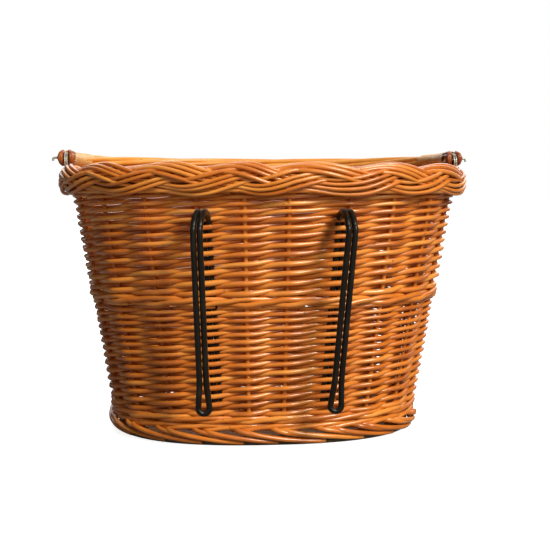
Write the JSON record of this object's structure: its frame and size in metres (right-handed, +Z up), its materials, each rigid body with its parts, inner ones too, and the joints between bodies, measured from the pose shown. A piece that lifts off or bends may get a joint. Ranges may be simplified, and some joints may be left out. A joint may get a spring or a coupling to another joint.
{
  "type": "handlebar basket",
  "caption": "Oval woven willow basket with a plaited rim, a plywood base, two sleeved wire hooks for a handlebar and a folding bail handle.",
  "frame": {"origin": "middle of the base board's underside, on the surface that the basket stands on", "axes": "+Z up, +X along the basket's width to the right of someone facing the hooks, hooks on the -Y side"},
  "size_m": [0.407, 0.3175, 0.2672],
  "materials": {
    "willow": "steamed willow rods under clear varnish",
    "stake_willow": "steamed willow, varnished, in the shade of the weave",
    "plywood": "thin plywood, dull stained",
    "split_cane": "pale split cane, varnished",
    "hook_sleeve": "black soft plastic sleeve, satin",
    "steel_wire": "galvanised wire"
  },
  "bodies": {
    "basket": {"base_board": "plywood", "foot_border": "willow", "bottom_wale": "willow", "lower_weave": "willow", "middle_wale": "willow", "upper_weave": "willow", "plait_border": "willow", "stake_01": "stake_willow", "stake_02": "stake_willow", "stake_03": "stake_willow", "stake_04": "stake_willow", "stake_05": "stake_willow", "stake_06": "stake_willow", "stake_07": "stake_willow", "stake_08": "stake_willow", "stake_09": "stake_willow", "stake_10": "stake_willow", "stake_11": "stake_willow", "stake_12": "stake_willow", "stake_13": "stake_willow", "stake_14": "stake_willow", "stake_15": "stake_willow", "stake_16": "stake_willow", "stake_17": "stake_willow", "stake_18": "stake_willow", "stake_19": "stake_willow", "stake_20": "stake_willow", "stake_21": "stake_willow", "stake_22": "stake_willow", "left_hook_wire": "steel_wire", "left_hook_sleeve": "hook_sleeve", "right_hook_wire": "steel_wire", "right_hook_sleeve": "hook_sleeve", "left_hinge_ring": "steel_wire", "right_hinge_ring": "steel_wire"},
    "handle": {"handle_bow": "willow", "left_handle_fork": "willow", "left_handle_binding": "split_cane", "left_hinge_pin": "steel_wire", "right_handle_fork": "willow", "right_handle_binding": "split_cane", "right_hinge_pin": "steel_wire"}
  },
  "joints": [
    {"name": "handle_swing", "type": "hinge", "parent": "basket", "child": "handle", "pos_m": [0, 0, 0.2595], "axis": [1, 0, 0], "range_deg": [0, 182]}
  ]
}
